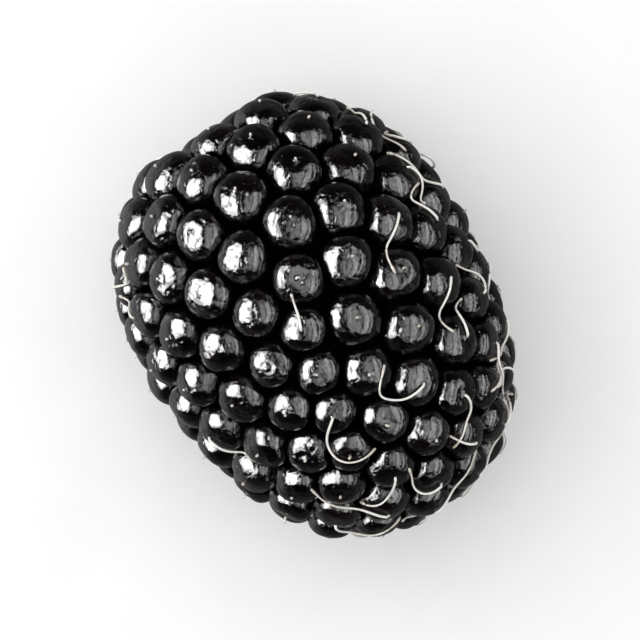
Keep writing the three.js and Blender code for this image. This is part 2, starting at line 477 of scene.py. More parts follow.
class NodeBench:
    """A short way to place and join nodes in one node tree."""

    def __init__(self, tree: bpy.types.NodeTree) -> None:
        """Keep the tree and start its nodes from nothing."""
        self.tree = tree
        tree.nodes.clear()

    def place(
        self, kind: str, settings: dict[str, object] | None = None, **inputs: object
    ) -> bpy.types.Node:
        """Add a node.

        Args:
            kind: the node's type.
            settings: properties of the node.
            **inputs: for each socket, by name with underscores for spaces, a value or a socket to join.

        Returns:
            The node.
        """
        node = self.tree.nodes.new(kind)
        for name, value in (settings or {}).items():
            setattr(node, name, value)
        for name, value in inputs.items():
            self.feed(node.inputs[name.replace("_", " ")], value)
        return node

    def feed(self, socket: bpy.types.NodeSocket, value: object) -> None:
        """Join another node's output to a socket, or set the socket's own value.

        Args:
            socket: the input to feed.
            value: an output socket or a plain value.
        """
        if isinstance(value, bpy.types.NodeSocket):
            self.tree.links.new(value, socket)
        else:
            socket.default_value = value

    def attribute(self, name: str) -> bpy.types.NodeSocket:
        """Read one of the piece's own attributes and return its value socket."""
        return self.place("ShaderNodeAttribute", {"attribute_name": name}).outputs["Fac"]

    def glossy_ray(self) -> bpy.types.NodeSocket:
        """Return a socket that is 1 where something shiny mirrors this point."""
        return self.place("ShaderNodeLightPath").outputs["Is Glossy Ray"]

    def mix_colours(self, share: object, first: object, second: object) -> bpy.types.NodeSocket:
        """Mix two colours.

        Args:
            share: how much of the second there is.
            first: a colour or a socket.
            second: a colour or a socket.

        Returns:
            The socket of the mixed colour.
        """
        node = self.tree.nodes.new("ShaderNodeMix")
        node.data_type = "RGBA"
        colours = [socket for socket in node.inputs if socket.type == "RGBA"]
        self.feed(node.inputs["Factor"], share)
        self.feed(colours[0], first)
        self.feed(colours[1], second)
        return next(socket for socket in node.outputs if socket.type == "RGBA")

    def spread(
        self, value: object, low: float, high: float, out_low: float = 0.0, out_high: float = 1.0
    ) -> bpy.types.NodeSocket:
        """Map a value from one range to another, and hold it there.

        Args:
            value: a number or a socket.
            low: the value that becomes the lowest.
            high: the value that becomes the highest.
            out_low: the lowest result, a number or a socket.
            out_high: the highest result, a number or a socket.

        Returns:
            The result's socket.
        """
        node = self.place("ShaderNodeMapRange", Value=value, From_Min=low, From_Max=high)
        self.feed(node.inputs["To Min"], out_low)
        self.feed(node.inputs["To Max"], out_high)
        return node.outputs["Result"]

    def reckon(self, operation: str, first: object, second: object) -> bpy.types.NodeSocket:
        """Work out a sum on two values.

        Args:
            operation: Blender's word for the sum.
            first: a number or a socket.
            second: a number or a socket.

        Returns:
            The result's socket.
        """
        node = self.tree.nodes.new("ShaderNodeMath")
        node.operation = operation
        self.feed(node.inputs[0], first)
        self.feed(node.inputs[1], second)
        return node.outputs["Value"]


class Way(Enum):
    """The side of a node group that a socket is on."""

    IN = "INPUT"
    OUT = "OUTPUT"


@dataclass(frozen=True)
class SkinRelief:
    """The shared effect of uneven natural skin, as a node group.

    Two noises in object coordinates, one broad and one fine, give a height, and their product a mask
    for stains and worn places.
    """

    name: str = "skin_relief"
    broad_detail: float = 2.0
    fine_detail: float = 3.0
    mask_low: float = 0.15  # the product at which the mask is 0
    mask_high: float = 0.4  # and at which it is 1

    def group(self) -> bpy.types.NodeTree:
        """Make the group, with inputs for both scales and the fine noise's share in the height.

        Returns:
            The node group.
        """
        tree = bpy.data.node_groups.new(self.name, "ShaderNodeTree")
        sockets = {Way.IN: ("Broad Scale", "Fine Scale", "Fine Share"), Way.OUT: ("Height", "Mask")}
        for way, names in sockets.items():
            for name in names:
                tree.interface.new_socket(name, in_out=way.value, socket_type="NodeSocketFloat")
        bench = NodeBench(tree)
        given = bench.place("NodeGroupInput").outputs
        place = bench.place("ShaderNodeTexCoord").outputs["Object"]
        noises = [
            bench.place("ShaderNodeTexNoise", Vector=place, Scale=given[scale], Detail=detail).outputs["Fac"]
            for scale, detail in (("Broad Scale", self.broad_detail), ("Fine Scale", self.fine_detail))
        ]
        fine_part = bench.reckon("MULTIPLY", noises[1], given["Fine Share"])
        height = bench.reckon("ADD", noises[0], fine_part)
        mask = bench.spread(bench.reckon("MULTIPLY", *noises), self.mask_low, self.mask_high)
        bench.place("NodeGroupOutput", Height=height, Mask=mask)
        return tree


@dataclass(frozen=True)
class Grain:
    """How a finish uses the shared relief: its scales, and the strength and the depth of its bump."""

    broad: float  # cells of noise in a metre
    fine: float
    fine_share: float
    bump: float
    depth: float  # metres


@dataclass(frozen=True)
class Finish:
    """What every finish has: a name and a grain."""

    name: str
    grain: Grain

    def make(self, relief: bpy.types.NodeTree) -> bpy.types.Material:
        """Make the material: the relief's bump and this finish's own inputs on a Principled BSDF.

        Args:
            relief: the shared relief group.

        Returns:
            The material.
        """
        material = bpy.data.materials.new(self.name)
        material.use_nodes = True
        bench = NodeBench(material.node_tree)
        placed = bench.place(
            "ShaderNodeGroup",
            {"node_tree": relief},
            Broad_Scale=self.grain.broad,
            Fine_Scale=self.grain.fine,
            Fine_Share=self.grain.fine_share,
        ).outputs
        bump = bench.place(
            "ShaderNodeBump", Strength=self.grain.bump, Distance=self.grain.depth, Height=placed["Height"]
        )
        inputs = self.inputs(bench, placed["Mask"])
        shader = bench.place("ShaderNodeBsdfPrincipled", Normal=bump.outputs["Normal"], **inputs)
        bench.place("ShaderNodeOutputMaterial", Surface=shader.outputs["BSDF"])
        return material

    def inputs(self, bench: NodeBench, mask: bpy.types.NodeSocket) -> dict[str, object]:
        """Work out the shader's inputs.

        Args:
            bench: the bench on the material's node tree.
            mask: the relief's mask.

        Returns:
            For each input, by name with underscores for spaces, a value or a socket to join.
        """
        raise NotImplementedError


@dataclass(frozen=True)
class DrupeletSkin(Finish):
    """Wet-looking black skin with a hint of violet, redder where a drupelet is less ripe."""

    name: str = "drupelet_skin"
    grain: Grain = Grain(broad=800.0, fine=4200.0, fine_share=0.12, bump=0.75, depth=0.0005)
    ripe: Colour = (0.0024, 0.0018, 0.0027, 1.0)
    unripe: Colour = (0.009, 0.0035, 0.005, 1.0)
    smoothest: float = 0.09
    roughest: float = 0.22
    refraction: float = 1.5
    coat: float = 0.5
    coat_roughness: float = 0.09

    def inputs(self, bench: NodeBench, mask: bpy.types.NodeSocket) -> dict[str, object]:
        """Mix two blacks by the drupelet's tone times the mask, roughen the skin by the mask, and coat it.

        Args:
            bench: the bench on the material's node tree.
            mask: the relief's mask.

        Returns:
            The shader's inputs.
        """
        blotch = bench.reckon("MULTIPLY", bench.attribute("tone"), mask)
        return {
            "Base_Color": bench.mix_colours(blotch, self.ripe, self.unripe),
            "Roughness": bench.spread(mask, 0.0, 1.0, self.smoothest, self.roughest),
            "IOR": self.refraction,
            "Coat_Weight": self.coat,
            "Coat_Roughness": self.coat_roughness,
        }


@dataclass(frozen=True)
class CoreFleshAndShade(Finish):
    """Dark matt flesh deep between the drupelets: partly the berry's own dark flesh and partly painted
    shade, kept near black and matt so that the gaps stay black.
    """

    name: str = "core_flesh_and_painted_shade"
    grain: Grain = Grain(broad=700.0, fine=3000.0, fine_share=0.5, bump=0.5, depth=0.0002)
    # partly the flesh's own colour, partly painted shade: near black so that the gaps read as shade
    dark: Colour = (0.0015, 0.001, 0.0015, 1.0)
    wine: Colour = (0.005, 0.0015, 0.0025, 1.0)
    roughness: float = 0.9
    specular: float = 0.04  # nearly none, so that the gaps stay black under the lights

    def inputs(self, bench: NodeBench, mask: bpy.types.NodeSocket) -> dict[str, object]:
        """Mix two darks by the mask, with hardly any gloss, as flesh and painted shade in the gaps.

        Args:
            bench: the bench on the material's node tree.
            mask: the relief's mask.

        Returns:
            The shader's inputs.
        """
        return {
            "Base_Color": bench.mix_colours(mask, self.dark, self.wine),
            "Roughness": self.roughness,
            "Specular_IOR_Level": self.specular,
        }


@dataclass(frozen=True)
class ReceptaclePith(Finish):
    """Pale, dry, fibrous pith, stained by juice towards its rim and brown at its scar."""

    name: str = "receptacle_pith"
    grain: Grain = Grain(broad=900.0, fine=6000.0, fine_share=0.8, bump=0.6, depth=0.00012)
    pale: Colour = (0.66, 0.62, 0.4, 1.0)
    green: Colour = (0.42, 0.46, 0.2, 1.0)
    juice: Colour = (0.1, 0.018, 0.05, 1.0)
    scar: Colour = (0.2, 0.12, 0.05, 1.0)
    stain_start: float = 0.75  # share of the way to the rim at which the juice begins
    stain_full: float = 1.15
    stain_mottle: float = 0.35  # how far the mask moves the stain's edge
    scar_share: float = 0.8
    smoothest: float = 0.55
    roughest: float = 0.8

    def inputs(self, bench: NodeBench, mask: bpy.types.NodeSocket) -> dict[str, object]:
        """Mix pale and green by the mask, then the juice from the rim, then the brown of the scar.

        Args:
            bench: the bench on the material's node tree.
            mask: the relief's mask.

        Returns:
            The shader's inputs.
        """
        mottle = bench.reckon("MULTIPLY", mask, self.stain_mottle)
        reached = bench.reckon("ADD", bench.attribute("rim"), mottle)
        stained = bench.spread(reached, self.stain_start, self.stain_full)
        scarred = bench.reckon("MULTIPLY", bench.attribute("middle"), self.scar_share)
        flesh = bench.mix_colours(mask, self.pale, self.green)
        flesh = bench.mix_colours(stained, flesh, self.juice)
        return {
            "Base_Color": bench.mix_colours(scarred, flesh, self.scar),
            "Roughness": bench.spread(mask, 0.0, 1.0, self.smoothest, self.roughest),
        }


@dataclass(frozen=True)
class StyleStraw(Finish):
    """Dry straw of the styles: pale along the thread, browner at its far end."""

    name: str = "style_straw"
    grain: Grain = Grain(broad=1500.0, fine=7000.0, fine_share=0.6, bump=0.5, depth=0.00003)
    pale: Colour = (0.84, 0.82, 0.77, 1.0)
    brown: Colour = (0.48, 0.4, 0.3, 1.0)
    age_start: float = 0.9  # distance along the thread plus the mask at which the brown begins
    age_full: float = 1.9
    smoothest: float = 0.45
    roughest: float = 0.65

    def inputs(self, bench: NodeBench, mask: bpy.types.NodeSocket) -> dict[str, object]:
        """Mix in a brown that grows along the thread, and roughen it by the mask.

        Args:
            bench: the bench on the material's node tree.
            mask: the relief's mask.

        Returns:
            The shader's inputs.
        """
        age = bench.reckon("ADD", bench.attribute("along"), mask)
        aged = bench.spread(age, self.age_start, self.age_full)
        return {
            "Base_Color": bench.mix_colours(aged, self.pale, self.brown),
            "Roughness": bench.spread(mask, 0.0, 1.0, self.smoothest, self.roughest),
        }


@dataclass(frozen=True)
class StudioFloor(Finish):
    """Plain pale board, barely uneven, that shows a painted shade in the berry's gloss: dark grey to glossy
    rays, so that the low sides stay black.
    """

    name: str = "studio_floor"
    grain: Grain = Grain(broad=12.0, fine=90.0, fine_share=0.3, bump=0.02, depth=0.0002)
    light: Colour = (0.9, 0.9, 0.9, 1.0)
    shade: Colour = (0.86, 0.86, 0.865, 1.0)
    # painted shade: the dark grey that glossy rays see in place of the pale board
    mirrored: Colour = (0.07, 0.07, 0.07, 1.0)
    roughness: float = 0.6

    def inputs(self, bench: NodeBench, mask: bpy.types.NodeSocket) -> dict[str, object]:
        """Mix two near whites by the mask, and show a dark grey to glossy rays, a painted shade in the
        berry's reflections.

        Args:
            bench: the bench on the material's node tree.
            mask: the relief's mask.

        Returns:
            The shader's inputs.
        """
        pale = bench.mix_colours(mask, self.light, self.shade)
        return {
            "Base_Color": bench.mix_colours(bench.glossy_ray(), pale, self.mirrored),
            "Roughness": self.roughness,
        }


@dataclass(frozen=True)
class Core:
    """The dark core that closes the gaps between the drupelets and shows there as painted shade: the
    outline, drawn in by a depth.
    """

    outline: Outline
    laying: Laying
    grown: Drupelets  # before the berry is laid down
    depth: float = 2.8
    rings: int = 24
    segments: int = 48

    def points(self) -> Array:
        """Work out the core as one closed shell.

        Rays from the middle, on rings round X, end where they meet the outline, less the depth.

        Returns:
            Points (1, points of the shell, 3), as the berry lies.
        """
        angle = (math.pi * np.arange(self.rings + 2) / (self.rings + 1))[:, None]
        turn = (2 * math.pi * np.arange(self.segments) / self.segments)[None]
        along = np.cos(angle) * np.ones_like(turn)
        ray = np.stack([along, np.sin(angle) * np.cos(turn), np.sin(angle) * np.sin(turn)], axis=-1)
        point = self.outline.at(ray)
        point *= 1 - self.depth / np.linalg.norm(point, axis=-1, keepdims=True)
        point = self.laying.place(point, self.grown)
        return shell_points(point[:1, 0], point[None, 1:-1], point[-1:, 0])


@dataclass
class DrupeletHead:
    """The head of the berry: plump drupelets pressed against each other, on a dark core that paints the
    shade in the gaps.
    """

    drupelets: Drupelets
    core: Core
    neighbours: int = 9
    squash: float = 8.0  # power of the soft minimum: higher makes flatter contacts and sharper creases
    outer_rings: int = 19
    outer_angle: float = 118.0  # degrees from the top to which the rings lie close
    ring_crowding: float = 1.25
    inner_angles: tuple[float, ...] = (135.0, 158.0)
    segments: int = 24
    dimple: float = 0.11
    dimple_angle: float = 17.0
    nipple: float = 0.08
    nipple_angle: float = 5.5
    wobble: float = 0.022
    waves: int = 3
    slowest_wave: float = 2.4  # radians of the first wave over a drupelet's radius
    wave_step: float = 1.3  # how many more each next wave has
    foot: float = 0.8  # how far below its centre a drupelet reaches, over its radius

    def ring_angles(self) -> Array:
        """Space out the rings of one drupelet, closer together near its top.

        The outer angles grow with a power of the ring's number, and the inner ones are given.

        Returns:
            The rings' angles from the top, in radians.
        """
        share = np.arange(1, self.outer_rings + 1) / self.outer_rings
        outer = self.outer_angle * share**self.ring_crowding
        return np.radians(np.concatenate([outer, self.inner_angles]))

    def directions(self) -> Array:
        """Find the directions from each drupelet's centre to the points of its surface.

        Each is the normal times the cosine of the ring's angle, plus the sine times a turn round it.

        Returns:
            Unit vectors (drupelet, ring, segment, 3).
        """
        normal = self.drupelets.normal[1:, None, None]
        first, second = side_axes(self.drupelets.normal[1:])
        angle = self.ring_angles()[:, None]
        turn = (2 * math.pi * np.arange(self.segments) / self.segments)[None]
        out = (np.cos(angle) * np.ones_like(turn))[None, ..., None] * normal
        one = (np.sin(angle) * np.cos(turn))[None, ..., None] * first[:, None, None]
        two = (np.sin(angle) * np.sin(turn))[None, ..., None] * second[:, None, None]
        return out + one + two

    def contacts(self) -> tuple[Array, Array]:
        """Find the planes where each drupelet meets its nearest neighbours.

        The plane between two balls holds the circle where they cross.

        Returns:
            Unit vectors towards the planes (drupelet, neighbour, 3) and the distances to them.
        """
        centre = self.drupelets.centre
        radius = self.drupelets.radius
        line = centre[None] - centre[1:, None]
        distance = np.linalg.norm(line, axis=2)
        distance[distance < TINY] = np.inf
        nearest = np.argsort(distance, axis=1)[:, : self.neighbours]
        apart = np.take_along_axis(distance, nearest, axis=1)
        towards = np.take_along_axis(line, nearest[..., None], axis=1) / apart[..., None]
        plane = (apart**2 + radius[1:, None] ** 2 - radius[nearest] ** 2) / (2 * apart)
        return towards, plane

    def dents(self) -> Array:
        """Return how deep each drupelet's dimple and nipple are, over the mean."""
        return vary(np.arange(len(self.drupelets.radius) - 1, dtype=float), Draw.DENT)

    def relief(self, direction: Array) -> Array:
        """Work out how much each drupelet's own radius swells in a direction, as a share.

        Slow waves in directions of its own make each drupelet a little uneven, and two narrow bells
        round the top make the dimple and the nipple left by the style.

        Args:
            direction: unit vectors (drupelet, ring, segment, 3).

        Returns:
            Factors of the radius.
        """
        number = np.arange(direction.shape[0], dtype=float)
        swell = np.ones(direction.shape[:3])
        for wave in range(self.waves):
            salts = [Draw.WAVE_AXIS + 3 * wave + part for part in range(3)]
            axis = unit(np.stack([scatter(number, salt) - 0.5 for salt in salts], axis=1))
            phase = 2 * math.pi * scatter(number, Draw.WAVE_PHASE + wave)
            lean = (direction * axis[:, None, None]).sum(axis=3)
            rate = self.slowest_wave + self.wave_step * wave
            swell += self.wobble * np.sin(rate * lean + phase[:, None, None])
        degrees = np.degrees(self.ring_angles())[None, :, None]
        dimple = self.dimple * np.exp(-((degrees / self.dimple_angle) ** 2))
        nipple = self.nipple * np.exp(-((degrees / self.nipple_angle) ** 2))
        radius = self.drupelets.radius[1:, None, None]
        return swell - self.dents()[:, None, None] * (dimple - nipple) / radius

    def surface(self) -> Array:
        """Work out the drupelets' points.

        The radius in a direction is a soft minimum, by a power sum, of the ball's own radius and of
        the distance along it to each contact plane. Nothing goes below the surface it rests on.

        Returns:
            Points (drupelet, points of one shell, 3).
        """
        centre = self.drupelets.centre[1:]
        normal = self.drupelets.normal[1:]
        radius = self.drupelets.radius[1:]
        direction = self.directions()
        ball = radius[:, None, None] * self.relief(direction)
        towards, plane = self.contacts()
        lean = np.einsum("drsk,dnk->drsn", direction, towards)
        limits = np.maximum(lean, 0.0) / plane[:, None, None]
        reach = (ball**-self.squash + (limits**self.squash).sum(axis=3)) ** (-1 / self.squash)
        rings = centre[:, None, None] + direction * reach[..., None]
        top = centre + normal * (radius - self.dents() * (self.dimple - self.nipple))[:, None]
        bottom = centre - normal * radius[:, None] * self.foot
        points = shell_points(top, rings, bottom)
        points[..., 2] = np.maximum(points[..., 2], 0.0)
        return points

    def build(self, skin: bpy.types.Material, flesh: bpy.types.Material) -> bpy.types.Object:
        """Make the piece, with the attribute tone, one number a drupelet.

        Args:
            skin: the drupelets' material.
            flesh: the core's material, partly painted shade.

        Returns:
            The piece.
        """
        points = self.surface()
        tone = scatter(np.arange(len(points), dtype=float), Draw.TONE)[:, None]
        shells = ShellMesh()
        shells.add(points, self.segments, tone=tone)
        shells.add(self.core.points(), self.core.segments, slot=1, tone=np.zeros((1, 1)))
        piece = shells.build("drupelet_head")
        piece.data.materials.append(skin)
        piece.data.materials.append(flesh)
        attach(piece, "root")
        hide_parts("drupelets")
        return piece


@dataclass
class Receptacle:
    """The pale plug in the stem end: a dished, fibrous face with a torn scar in its middle.

    The waves of its rim are each given by their number round it, their height over the radius and
    their phase. Each twist is the turn of a wave's phase from the middle to the rim, in radians.
    """

    centre: Array  # of the rim's circle
    axis: Array  # outward
    radius: float = 3.0
    depth: float = 2.2
    dish: float = 0.6
    rim_drop: float = 0.25  # how far the face rounds over at its rim
    rim_start: float = 0.86  # share of the radius at which it begins to
    rim_waves: tuple[tuple[int, float, float], ...] = ((4, 0.012, 1.0), (9, 0.008, 0.0))
    side_taper: float = 0.1
    scar_radius: float = 1.1
    scar_height: float = 0.5
    scar_ripple: float = 0.18
    scar_ripples: int = 9
    crater_radius: float = 0.495
    crater_depth: float = 0.75  # over the scar's height
    fibres: int = 26
    fibre_height: float = 0.07
    fibre_bend: float = 2.2
    fibre_bends: int = 3
    fibre_twist: float = 3.0
    fibre_start: float = 0.05  # share of the radius at which the fibres begin
    fibre_full: float = 0.35
    fine_fibres: int = 41
    fine_twist: float = 5.0
    fine_share: float = 0.6
    lumps: tuple[int, int] = (5, 2)
    lump_twists: tuple[float, float] = (4.0, 7.0)
    lump_share: float = 0.9
    face_rings: int = 34
    side_rings: int = 8
    segments: int = 144

    def profile(self) -> tuple[Array, Array, Array]:
        """Work out the plug's profile, from the middle of its face out and down its side.

        The face rises from the dish to the rim as the cube of the radius and rounds over there, the
        side narrows evenly, and the back closes flat.

        Returns:
            Each ring's radius, its height, and how much of the face's relief it has.
        """
        face = (np.arange(1, self.face_rings + 1) / self.face_rings) * self.radius
        share = face / self.radius
        round_over = self.rim_drop * smooth_step(self.rim_start, 1.0, share) ** 2
        height = -self.dish * (1 - share**3) - round_over
        down = np.arange(1, self.side_rings + 1) / self.side_rings
        side = self.radius * (1 - self.side_taper * down)
        side_height = height[-1] - down * (self.depth - self.rim_drop)
        radius = np.concatenate([face, side])
        all_heights = np.concatenate([height, side_height])
        relief = np.concatenate([np.ones_like(face), 1 - down])
        return radius, all_heights, relief

    def fibre_relief(self, out: Array, spoke: Array) -> Array:
        """Work out the height of the face's relief over that of one fibre.

        Coarse fibres with bends of their own, finer ones over them, and broad lumps, which are two
        waves multiplied. All are sines of the turn and of the distance out, and fade towards the scar.

        Args:
            out: distance from the middle over the radius.
            spoke: the turn round the axis, in radians.

        Returns:
            The heights.
        """
        bend = self.fibre_bend * np.sin(self.fibre_bends * spoke)
        coarse = np.sin(self.fibres * spoke + bend + self.fibre_twist * out)
        fine = self.fine_share * np.sin(self.fine_fibres * spoke + self.fine_twist * out)
        lump = self.lump_share
        for number, twist in zip(self.lumps, self.lump_twists):
            lump = lump * np.sin(number * spoke + twist * out)
        return smooth_step(self.fibre_start, self.fibre_full, out) * (coarse + fine + lump)

    def build(self, pith: bpy.types.Material) -> bpy.types.Object:
        """Make the piece, with attributes rim and middle that say where on the face a point is.

        The scar is a rippled bell round the middle, less a narrower one for its crater.

        Args:
            pith: the piece's material.

        Returns:
            The piece.
        """
        radius, height, relief = self.profile()
        spoke = (2 * math.pi * np.arange(self.segments) / self.segments)[None]
        out = (radius / self.radius)[:, None]
        torn = np.exp(-((radius / self.scar_radius) ** 2))[:, None]
        crater = np.exp(-((radius / self.crater_radius) ** 2))[:, None]
        ripple = 1 + self.scar_ripple * np.sin(self.scar_ripples * spoke)
        scar = torn * ripple - self.crater_depth * crater
        rough = self.fibre_height * relief[:, None] * self.fibre_relief(out, spoke)
        rise = height[:, None] + rough + self.scar_height * scar
        wave = np.ones_like(spoke)
        for number, height_share, phase in self.rim_waves:
            wave = wave + height_share * np.sin(number * spoke + phase)
        wide = radius[:, None] * wave
        first, second = side_axes(self.axis)
        rings = (
            self.centre
            + (wide * np.cos(spoke))[..., None] * first
            + (wide * np.sin(spoke))[..., None] * second
            + rise[..., None] * self.axis
        )
        top = self.centre + self.axis * (height[0] + self.scar_height * (1 - self.crater_depth))
        bottom = self.centre + self.axis * height[-1]
        rim = np.concatenate([[0.0], np.repeat(radius / self.radius, self.segments), [1.0]])
        middle = np.concatenate([[1.0], np.repeat(torn[:, 0], self.segments), [0.0]])
        shells = ShellMesh()
        points = shell_points(top[None], rings[None], bottom[None])
        shells.add(points, self.segments, rim=rim[None], middle=middle[None])
        piece = shells.build("stem_end_receptacle")
        piece.data.materials.append(pith)
        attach(piece, "root")
        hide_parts("receptacle")
        return piece


@dataclass
class Styles:
    """The dried styles: fine curved threads from the tops of many drupelets, lying over the head."""

    outline: Outline
    grown: Drupelets
    laying: Laying
    least_share: float = 0.13  # of the drupelets that kept their style on the rubbed side
    most_share: float = 0.86  # and on the other side
    kept_side: tuple[float, float, float] = (0.53, 0.85, 0.0)  # the picture's right, as the berry lies
    rubbed_lean: float = -0.2  # a normal's lean to the kept side up to which the least share holds
    kept_lean: float = 0.8  # and from which the most share does
    steps: int = 30
    sides: int = 6
    shortest: float = 2.4
    longest: float = 6.0
    short_bias: float = 1.2  # above 1 makes more threads short than long
    curl: float = 2.6  # radians that a thread turns along its length, at most
    sway: float = 0.5  # radians to each side of the curl
    sway_rate: float = 5.0  # radians of the sway's wave along the thread
    sway_phases: float = 6.0  # radians over which the starts of the sways are spread
    free_from: float = 0.3  # share of the length from which a thread slides fully
    root_radius: float = 0.085
    tip_radius: float = 0.058
    knob_radius: float = 0.09
    knob_place: float = 0.96
    knob_length: float = 0.05
    tip_roundness: float = 0.7
    root_depth: float = 0.1
    clearance: float = 0.06
    lift: float = 0.3
    lift_lean: float = 0.8  # below 1 moves the lifted part towards the root
    slide: float = 0.12  # how far a point slides towards the creases in one step
    slide_steps: int = 6
    blend: float = 0.3  # millimetres over which one drupelet's slope gives way to the next one's
    ease_passes: int = 8
    settle_steps: int = 8
    bridge_passes: int = 40
    stub_steps: int = 4
    stub_length: float = 0.1
    stub_clearance: float = 1.2
    floor_clearance: float = 3.0

    def pick(self) -> tuple[Indices, Indices]:
        """Choose the drupelets with a whole style and those with a stub, none near the surface below.

        The share that kept a whole one rises with how far the drupelet faces the kept side.

        Returns:
            The numbers of the first and of the second.
        """
        laid = self.laying.lay(self.grown)
        number = np.arange(len(laid.radius), dtype=float)
        side = smooth_step(self.rubbed_lean, self.kept_lean, laid.normal @ np.array(self.kept_side))
        share = self.least_share + (self.most_share - self.least_share) * side
        height = laid.top[:, 2]
        kept = (scatter(number, Draw.STYLE_KEPT) < share) & (height > self.floor_clearance)
        kept[0] = False
        stub = ~kept & (height > self.stub_clearance)
        stub[0] = False
        return np.flatnonzero(kept), np.flatnonzero(stub)

    def beside(self, points: Array) -> tuple[Array, Array]:
        """Measure from each ball to each point.

        Args:
            points: points (thread, step, 3), before the berry is laid down.

        Returns:
            The vectors from the balls' centres (thread, step, ball, 3), and how far the points are
            outside the balls, negative inside.
        """
        away = points[:, :, None] - self.grown.centre[None, None, 1:]
        return away, np.linalg.norm(away, axis=3) - self.grown.radius[1:]

    def ease(self, values: Array, passes: int) -> Array:
        """Smooth values along each thread, and keep its two ends.

        Each pass makes a value half of itself and a quarter of each of its two neighbours.

        Args:
            values: values (thread, step, ...).
            passes: how often it is done.

        Returns:
            The smoothed values.
        """
        for _ in range(passes):
            middle = (values[:, :-2] + 2 * values[:, 1:-1] + values[:, 2:]) / 4
            values = np.concatenate([values[:, :1], middle, values[:, -1:]], axis=1)
        return values

    def downhill(self, points: Array) -> Array:
        """Find the way down into the nearest crease at each point, longer where it is steeper.

        It is each near ball's own slope, away from its centre, weighted by how near the ball is. In a
        crease the slopes of the balls on its two sides cancel.

        Args:
            points: points (thread, step, 3), before the berry is laid down.

        Returns:
            Vectors (thread, step, 3) along the outline.
        """
        away, gap = self.beside(points)
        weight = np.exp(-(gap - gap.min(axis=2, keepdims=True)) / self.blend)
        weight /= weight.sum(axis=2, keepdims=True)
        slope = (weight[..., None] * away / self.grown.radius[1:, None]).sum(axis=2)
        outward = self.outline.normal(points)
        return slope - outward * (slope * outward).sum(axis=2, keepdims=True)

    def curls(self, chosen: Indices) -> Array:
        """Draw the threads' curls on the smooth outline.

        The heading at each step is a thread's own, plus a steady curl, plus a slow sway. The steps are
        summed on the plane that touches the outline at the root, and laid on the outline.

        Args:
            chosen: the drupelets' numbers.

        Returns:
            Points (thread, step, 3), before the berry is laid down.
        """
        number = chosen.astype(float)
        step = np.linspace(0.0, 1.0, self.steps)[None]
        long_share = scatter(number, Draw.STYLE_LENGTH) ** self.short_bias
        length = (self.shortest + (self.longest - self.shortest) * long_share)[:, None]
        heading = 2 * math.pi * scatter(number, Draw.STYLE_HEADING)[:, None]
        curl = (2 * scatter(number, Draw.STYLE_CURL)[:, None] - 1) * self.curl
        phase = self.sway_phases * scatter(number, Draw.STYLE_SWAY)[:, None]
        angle = heading + curl * step + self.sway * np.sin(self.sway_rate * step + phase)
        stride = length / (self.steps - 1)
        flat = self.grown.top[chosen][:, None]
        for part, axis in zip((np.cos(angle), np.sin(angle)), side_axes(self.grown.normal[chosen])):
            along = np.cumsum(part * stride, axis=1) - part[:, :1] * stride
            flat = flat + along[..., None] * axis[:, None]
        return self.outline.at(flat)

    def paths(self, chosen: Indices) -> Array:
        """Work out the threads' paths.

        Each starts in its dimple and follows its curl, which slides some way into the creases. It is
        let down until it touches the balls below, then pulled taut from one touch to the next, so that
        it bridges the creases, and it stands up a little on the way.

        Args:
            chosen: the drupelets' numbers.

        Returns:
            Points (thread, step, 3), before the berry is laid down.
        """
        step = np.linspace(0.0, 1.0, self.steps)[None]
        path = self.curls(chosen)
        free = smooth_step(0.0, self.free_from, step)[..., None]
        for _ in range(self.slide_steps):
            path = path + self.slide * free * self.downhill(path)
            path = self.outline.at(self.ease(path, self.ease_passes))
        outward = self.outline.normal(path)
        touching = np.zeros(path.shape[:2])
        for _ in range(self.settle_steps):
            _, gap = self.beside(path + outward * touching[..., None])
            touching -= gap.min(axis=2) - self.clearance
        touching[:, 0] = -self.root_depth
        height = touching
        for _ in range(self.bridge_passes):
            height = np.maximum(self.ease(height, passes=1), touching)
        lift = self.lift * scatter(chosen.astype(float), Draw.STYLE_LIFT)[:, None]
        stand = lift * np.sin(math.pi * step**self.lift_lean) ** 2
        return path + outward * (height + stand)[..., None]

    def stubs(self, bare: Indices) -> Array:
        """Work out the short stubs where a style broke off.

        Each stands in its dimple and leans a little to a side of its own.

        Args:
            bare: the drupelets' numbers.

        Returns:
            Points (stub, step, 3), before the berry is laid down.
        """
        number = bare.astype(float)
        first, _ = side_axes(self.grown.normal[bare])
        lean = first * (scatter(number, Draw.STUB_LEAN) - 0.5)[:, None]
        way = unit(self.grown.normal[bare] + lean)[:, None]
        rise = np.linspace(-self.root_depth, self.stub_length, self.stub_steps)[None, :, None]
        rise = rise * vary(number, Draw.STUB_LENGTH)[:, None, None]
        return self.grown.top[bare][:, None] + way * rise

    def tubes(self, path: Array, thick: Array) -> Array:
        """Work out closed tubes along paths, as the berry lies.

        A drupelet's rings run down from its top, against its axis, and a tube's run along its axis,
        so these turn the other way round for the faces to look out.

        Args:
            path: points (thread, step, 3), before the berry is laid down.
            thick: the tube's radius at each step.

        Returns:
            Points (thread, points of one shell, 3).
        """
        path = self.laying.place(path, self.grown)
        tangent = unit(np.gradient(path, axis=1))
        first, second = side_axes(tangent)
        turn = (2 * math.pi * np.arange(self.sides) / self.sides)[None, None, :, None]
        ring = np.cos(turn) * first[:, :, None] - np.sin(turn) * second[:, :, None]
        rings = path[:, :, None] + ring * thick[None, :, None, None]
        end = path[:, -1] + tangent[:, -1] * thick[-1] * self.tip_roundness
        return shell_points(path[:, 0], rings, end)

